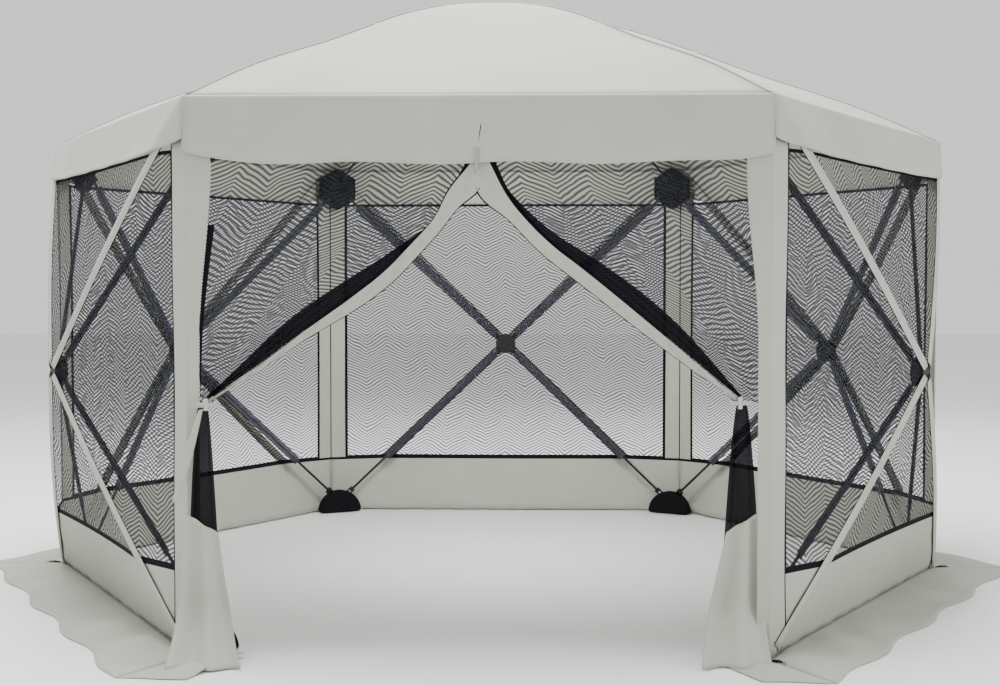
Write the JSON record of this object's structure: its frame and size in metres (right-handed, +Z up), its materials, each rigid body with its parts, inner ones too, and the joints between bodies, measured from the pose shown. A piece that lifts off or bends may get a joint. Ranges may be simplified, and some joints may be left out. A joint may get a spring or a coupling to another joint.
{
  "type": "screen house",
  "caption": "Six-sided pop-up screen house with a domed cloth roof, mesh walls braced by crossed poles, a tied-back zipped door and a ground skirt.",
  "frame": {"origin": "on the ground, under the roof hub", "axes": "+Z up, -Y out through the door wall, +X to the right seen from outside the door"},
  "size_m": [4.0994, 3.5508, 2.234],
  "materials": {
    "canopy_cloth": "matt woven polyester",
    "wall_mesh": "fine knitted mesh",
    "trim_cloth": "dark woven polyester",
    "hub_plastic": "moulded",
    "pole_fibreglass": "wound fibreglass rod",
    "steel": "bright",
    "zip": "nickel plated",
    "webbing": "flat woven tape",
    "skirt_cloth": "matt woven polyester",
    "toggle": "moulded"
  },
  "bodies": {
    "cover_and_corner_hubs": {"upper_hubs": "hub_plastic", "lower_hubs": "hub_plastic", "hub_pins": "steel", "upper_hub_covers": "trim_cloth", "lower_hub_covers": "trim_cloth", "roof_canopy": "canopy_cloth", "valance": "canopy_cloth", "corner_strips": "canopy_cloth", "wall_panel_1": "wall_mesh", "wall_panel_2": "wall_mesh", "wall_panel_3": "wall_mesh", "wall_panel_4": "wall_mesh", "wall_panel_5": "wall_mesh", "door_flap_left": "wall_mesh", "door_flap_right": "wall_mesh", "tie_back_left": "toggle", "tie_back_right": "toggle", "zip_tape": "trim_cloth", "ground_skirt": "skirt_cloth", "stake_rings": "steel", "stake_straps": "webbing"},
    "roof_hub": {"roof_hub": "hub_plastic", "roof_pull_strap": "webbing"},
    "roof_pole_1": {"roof_pole_1": "pole_fibreglass"},
    "roof_pole_2": {"roof_pole_2": "pole_fibreglass"},
    "roof_pole_3": {"roof_pole_3": "pole_fibreglass"},
    "roof_pole_4": {"roof_pole_4": "pole_fibreglass"},
    "roof_pole_5": {"roof_pole_5": "pole_fibreglass"},
    "roof_pole_6": {"roof_pole_6": "pole_fibreglass"},
    "wall_hub_1": {"wall_hub_1": "hub_plastic"},
    "wall_pole_1a": {"wall_pole_1a": "pole_fibreglass"},
    "wall_pole_1b": {"wall_pole_1b": "pole_fibreglass"},
    "wall_pole_1c": {"wall_pole_1c": "pole_fibreglass"},
    "wall_pole_1d": {"wall_pole_1d": "pole_fibreglass"},
    "wall_hub_2": {"wall_hub_2": "hub_plastic"},
    "wall_pole_2a": {"wall_pole_2a": "pole_fibreglass"},
    "wall_pole_2b": {"wall_pole_2b": "pole_fibreglass"},
    "wall_pole_2c": {"wall_pole_2c": "pole_fibreglass"},
    "wall_pole_2d": {"wall_pole_2d": "pole_fibreglass"},
    "wall_hub_3": {"wall_hub_3": "hub_plastic"},
    "wall_pole_3a": {"wall_pole_3a": "pole_fibreglass"},
    "wall_pole_3b": {"wall_pole_3b": "pole_fibreglass"},
    "wall_pole_3c": {"wall_pole_3c": "pole_fibreglass"},
    "wall_pole_3d": {"wall_pole_3d": "pole_fibreglass"},
    "wall_hub_4": {"wall_hub_4": "hub_plastic"},
    "wall_pole_4a": {"wall_pole_4a": "pole_fibreglass"},
    "wall_pole_4b": {"wall_pole_4b": "pole_fibreglass"},
    "wall_pole_4c": {"wall_pole_4c": "pole_fibreglass"},
    "wall_pole_4d": {"wall_pole_4d": "pole_fibreglass"},
    "wall_hub_5": {"wall_hub_5": "hub_plastic"},
    "wall_pole_5a": {"wall_pole_5a": "pole_fibreglass"},
    "wall_pole_5b": {"wall_pole_5b": "pole_fibreglass"},
    "wall_pole_5c": {"wall_pole_5c": "pole_fibreglass"},
    "wall_pole_5d": {"wall_pole_5d": "pole_fibreglass"},
    "zip_slider": {"zip_slider": "zip", "zip_pull": "zip"}
  },
  "joints": [
    {"name": "roof_hub_pop", "type": "slide", "parent": "cover_and_corner_hubs", "child": "roof_hub", "axis": [0, 0, 1], "range_m": [-1.098, 0]},
    {"name": "roof_pole_1_hinge", "type": "hinge", "parent": "cover_and_corner_hubs", "child": "roof_pole_1", "pos_m": [1.57379, 0, 1.651], "axis": [0, 1, 0], "range_deg": [-41.52, 0.2]},
    {"name": "roof_pole_2_hinge", "type": "hinge", "parent": "cover_and_corner_hubs", "child": "roof_pole_2", "pos_m": [0.78689, 1.36294, 1.651], "axis": [-0.866, 0.5, 0], "range_deg": [-41.52, 0.2]},
    {"name": "roof_pole_3_hinge", "type": "hinge", "parent": "cover_and_corner_hubs", "child": "roof_pole_3", "pos_m": [-0.78689, 1.36294, 1.651], "axis": [-0.866, -0.5, 0], "range_deg": [-41.52, 0.2]},
    {"name": "roof_pole_4_hinge", "type": "hinge", "parent": "cover_and_corner_hubs", "child": "roof_pole_4", "pos_m": [-1.57379, 0, 1.651], "axis": [0, -1, 0], "range_deg": [-41.52, 0.2]},
    {"name": "roof_pole_5_hinge", "type": "hinge", "parent": "cover_and_corner_hubs", "child": "roof_pole_5", "pos_m": [-0.78689, -1.36294, 1.651], "axis": [0.866, -0.5, 0], "range_deg": [-41.52, 0.2]},
    {"name": "roof_pole_6_hinge", "type": "hinge", "parent": "cover_and_corner_hubs", "child": "roof_pole_6", "pos_m": [0.78689, -1.36294, 1.651], "axis": [0.866, 0.5, 0], "range_deg": [-41.52, 0.2]},
    {"name": "wall_hub_1_pop", "type": "slide", "parent": "cover_and_corner_hubs", "child": "wall_hub_1", "axis": [0.866, 0.5, 0], "range_m": [-0.522, 0]},
    {"name": "wall_pole_1a_hinge", "type": "hinge", "parent": "cover_and_corner_hubs", "child": "wall_pole_1a", "pos_m": [0.86775, 1.38087, 1.55139], "axis": [0.3434, -0.5947, 0.7269], "range_deg": [-29.34, 0.2]},
    {"name": "wall_pole_1b_hinge", "type": "hinge", "parent": "cover_and_corner_hubs", "child": "wall_pole_1b", "pos_m": [1.62975, 0.06106, 1.55139], "axis": [0.3434, -0.5947, -0.7269], "range_deg": [-29.34, 0.2]},
    {"name": "wall_pole_1c_hinge", "type": "hinge", "parent": "cover_and_corner_hubs", "child": "wall_pole_1c", "pos_m": [0.86775, 1.38087, 0.11161], "axis": [-0.3434, 0.5947, 0.7269], "range_deg": [-29.34, 0.2]},
    {"name": "wall_pole_1d_hinge", "type": "hinge", "parent": "cover_and_corner_hubs", "child": "wall_pole_1d", "pos_m": [1.62975, 0.06106, 0.11161], "axis": [-0.3434, 0.5947, -0.7269], "range_deg": [-29.34, 0.2]},
    {"name": "wall_hub_2_pop", "type": "slide", "parent": "cover_and_corner_hubs", "child": "wall_hub_2", "axis": [0, 1, 0], "range_m": [-0.522, 0]},
    {"name": "wall_pole_2a_hinge", "type": "hinge", "parent": "cover_and_corner_hubs", "child": "wall_pole_2a", "pos_m": [-0.76199, 1.44193, 1.55139], "axis": [0.6867, 0, 0.7269], "range_deg": [-29.34, 0.2]},
    {"name": "wall_pole_2b_hinge", "type": "hinge", "parent": "cover_and_corner_hubs", "child": "wall_pole_2b", "pos_m": [0.76199, 1.44193, 1.55139], "axis": [0.6867, 0, -0.7269], "range_deg": [-29.34, 0.2]},
    {"name": "wall_pole_2c_hinge", "type": "hinge", "parent": "cover_and_corner_hubs", "child": "wall_pole_2c", "pos_m": [-0.76199, 1.44193, 0.11161], "axis": [-0.6867, 0, 0.7269], "range_deg": [-29.34, 0.2]},
    {"name": "wall_pole_2d_hinge", "type": "hinge", "parent": "cover_and_corner_hubs", "child": "wall_pole_2d", "pos_m": [0.76199, 1.44193, 0.11161], "axis": [-0.6867, 0, -0.7269], "range_deg": [-29.34, 0.2]},
    {"name": "wall_hub_3_pop", "type": "slide", "parent": "cover_and_corner_hubs", "child": "wall_hub_3", "axis": [-0.866, 0.5, 0], "range_m": [-0.522, 0]},
    {"name": "wall_pole_3a_hinge", "type": "hinge", "parent": "cover_and_corner_hubs", "child": "wall_pole_3a", "pos_m": [-1.62975, 0.06106, 1.55139], "axis": [0.3434, 0.5947, 0.7269], "range_deg": [-29.34, 0.2]},
    {"name": "wall_pole_3b_hinge", "type": "hinge", "parent": "cover_and_corner_hubs", "child": "wall_pole_3b", "pos_m": [-0.86775, 1.38087, 1.55139], "axis": [0.3434, 0.5947, -0.7269], "range_deg": [-29.34, 0.2]},
    {"name": "wall_pole_3c_hinge", "type": "hinge", "parent": "cover_and_corner_hubs", "child": "wall_pole_3c", "pos_m": [-1.62975, 0.06106, 0.11161], "axis": [-0.3434, -0.5947, 0.7269], "range_deg": [-29.34, 0.2]},
    {"name": "wall_pole_3d_hinge", "type": "hinge", "parent": "cover_and_corner_hubs", "child": "wall_pole_3d", "pos_m": [-0.86775, 1.38087, 0.11161], "axis": [-0.3434, -0.5947, -0.7269], "range_deg": [-29.34, 0.2]},
    {"name": "wall_hub_4_pop", "type": "slide", "parent": "cover_and_corner_hubs", "child": "wall_hub_4", "axis": [-0.866, -0.5, 0], "range_m": [-0.522, 0]},
    {"name": "wall_pole_4a_hinge", "type": "hinge", "parent": "cover_and_corner_hubs", "child": "wall_pole_4a", "pos_m": [-0.86775, -1.38087, 1.55139], "axis": [-0.3434, 0.5947, 0.7269], "range_deg": [-29.34, 0.2]},
    {"name": "wall_pole_4b_hinge", "type": "hinge", "parent": "cover_and_corner_hubs", "child": "wall_pole_4b", "pos_m": [-1.62975, -0.06106, 1.55139], "axis": [-0.3434, 0.5947, -0.7269], "range_deg": [-29.34, 0.2]},
    {"name": "wall_pole_4c_hinge", "type": "hinge", "parent": "cover_and_corner_hubs", "child": "wall_pole_4c", "pos_m": [-0.86775, -1.38087, 0.11161], "axis": [0.3434, -0.5947, 0.7269], "range_deg": [-29.34, 0.2]},
    {"name": "wall_pole_4d_hinge", "type": "hinge", "parent": "cover_and_corner_hubs", "child": "wall_pole_4d", "pos_m": [-1.62975, -0.06106, 0.11161], "axis": [0.3434, -0.5947, -0.7269], "range_deg": [-29.34, 0.2]},
    {"name": "wall_hub_5_pop", "type": "slide", "parent": "cover_and_corner_hubs", "child": "wall_hub_5", "axis": [0.866, -0.5, 0], "range_m": [-0.522, 0]},
    {"name": "wall_pole_5a_hinge", "type": "hinge", "parent": "cover_and_corner_hubs", "child": "wall_pole_5a", "pos_m": [1.62975, -0.06106, 1.55139], "axis": [-0.3434, -0.5947, 0.7269], "range_deg": [-29.34, 0.2]},
    {"name": "wall_pole_5b_hinge", "type": "hinge", "parent": "cover_and_corner_hubs", "child": "wall_pole_5b", "pos_m": [0.86775, -1.38087, 1.55139], "axis": [-0.3434, -0.5947, -0.7269], "range_deg": [-29.34, 0.2]},
    {"name": "wall_pole_5c_hinge", "type": "hinge", "parent": "cover_and_corner_hubs", "child": "wall_pole_5c", "pos_m": [1.62975, -0.06106, 0.11161], "axis": [0.3434, 0.5947, 0.7269], "range_deg": [-29.34, 0.2]},
    {"name": "wall_pole_5d_hinge", "type": "hinge", "parent": "cover_and_corner_hubs", "child": "wall_pole_5d", "pos_m": [0.86775, -1.38087, 0.11161], "axis": [0.3434, 0.5947, -0.7269], "range_deg": [-29.34, 0.2]},
    {"name": "zip_slider_slide", "type": "slide", "parent": "cover_and_corner_hubs", "child": "zip_slider", "axis": [0, 0, 1], "range_m": [0, 0.085]}
  ],
  "couplings": [
    {"joint": "roof_pole_1_hinge", "follows": "roof_hub_pop", "rad_per_m": 0.65687},
    {"joint": "roof_pole_2_hinge", "follows": "roof_hub_pop", "rad_per_m": 0.65687},
    {"joint": "roof_pole_3_hinge", "follows": "roof_hub_pop", "rad_per_m": 0.65687},
    {"joint": "roof_pole_4_hinge", "follows": "roof_hub_pop", "rad_per_m": 0.65687},
    {"joint": "roof_pole_5_hinge", "follows": "roof_hub_pop", "rad_per_m": 0.65687},
    {"joint": "roof_pole_6_hinge", "follows": "roof_hub_pop", "rad_per_m": 0.65687},
    {"joint": "wall_pole_1a_hinge", "follows": "wall_hub_1_pop", "rad_per_m": 0.9742},
    {"joint": "wall_pole_1b_hinge", "follows": "wall_hub_1_pop", "rad_per_m": 0.9742},
    {"joint": "wall_pole_1c_hinge", "follows": "wall_hub_1_pop", "rad_per_m": 0.9742},
    {"joint": "wall_pole_1d_hinge", "follows": "wall_hub_1_pop", "rad_per_m": 0.9742},
    {"joint": "wall_pole_2a_hinge", "follows": "wall_hub_2_pop", "rad_per_m": 0.9742},
    {"joint": "wall_pole_2b_hinge", "follows": "wall_hub_2_pop", "rad_per_m": 0.9742},
    {"joint": "wall_pole_2c_hinge", "follows": "wall_hub_2_pop", "rad_per_m": 0.9742},
    {"joint": "wall_pole_2d_hinge", "follows": "wall_hub_2_pop", "rad_per_m": 0.9742},
    {"joint": "wall_pole_3a_hinge", "follows": "wall_hub_3_pop", "rad_per_m": 0.9742},
    {"joint": "wall_pole_3b_hinge", "follows": "wall_hub_3_pop", "rad_per_m": 0.9742},
    {"joint": "wall_pole_3c_hinge", "follows": "wall_hub_3_pop", "rad_per_m": 0.9742},
    {"joint": "wall_pole_3d_hinge", "follows": "wall_hub_3_pop", "rad_per_m": 0.9742},
    {"joint": "wall_pole_4a_hinge", "follows": "wall_hub_4_pop", "rad_per_m": 0.9742},
    {"joint": "wall_pole_4b_hinge", "follows": "wall_hub_4_pop", "rad_per_m": 0.9742},
    {"joint": "wall_pole_4c_hinge", "follows": "wall_hub_4_pop", "rad_per_m": 0.9742},
    {"joint": "wall_pole_4d_hinge", "follows": "wall_hub_4_pop", "rad_per_m": 0.9742},
    {"joint": "wall_pole_5a_hinge", "follows": "wall_hub_5_pop", "rad_per_m": 0.9742},
    {"joint": "wall_pole_5b_hinge", "follows": "wall_hub_5_pop", "rad_per_m": 0.9742},
    {"joint": "wall_pole_5c_hinge", "follows": "wall_hub_5_pop", "rad_per_m": 0.9742},
    {"joint": "wall_pole_5d_hinge", "follows": "wall_hub_5_pop", "rad_per_m": 0.9742}
  ]
}
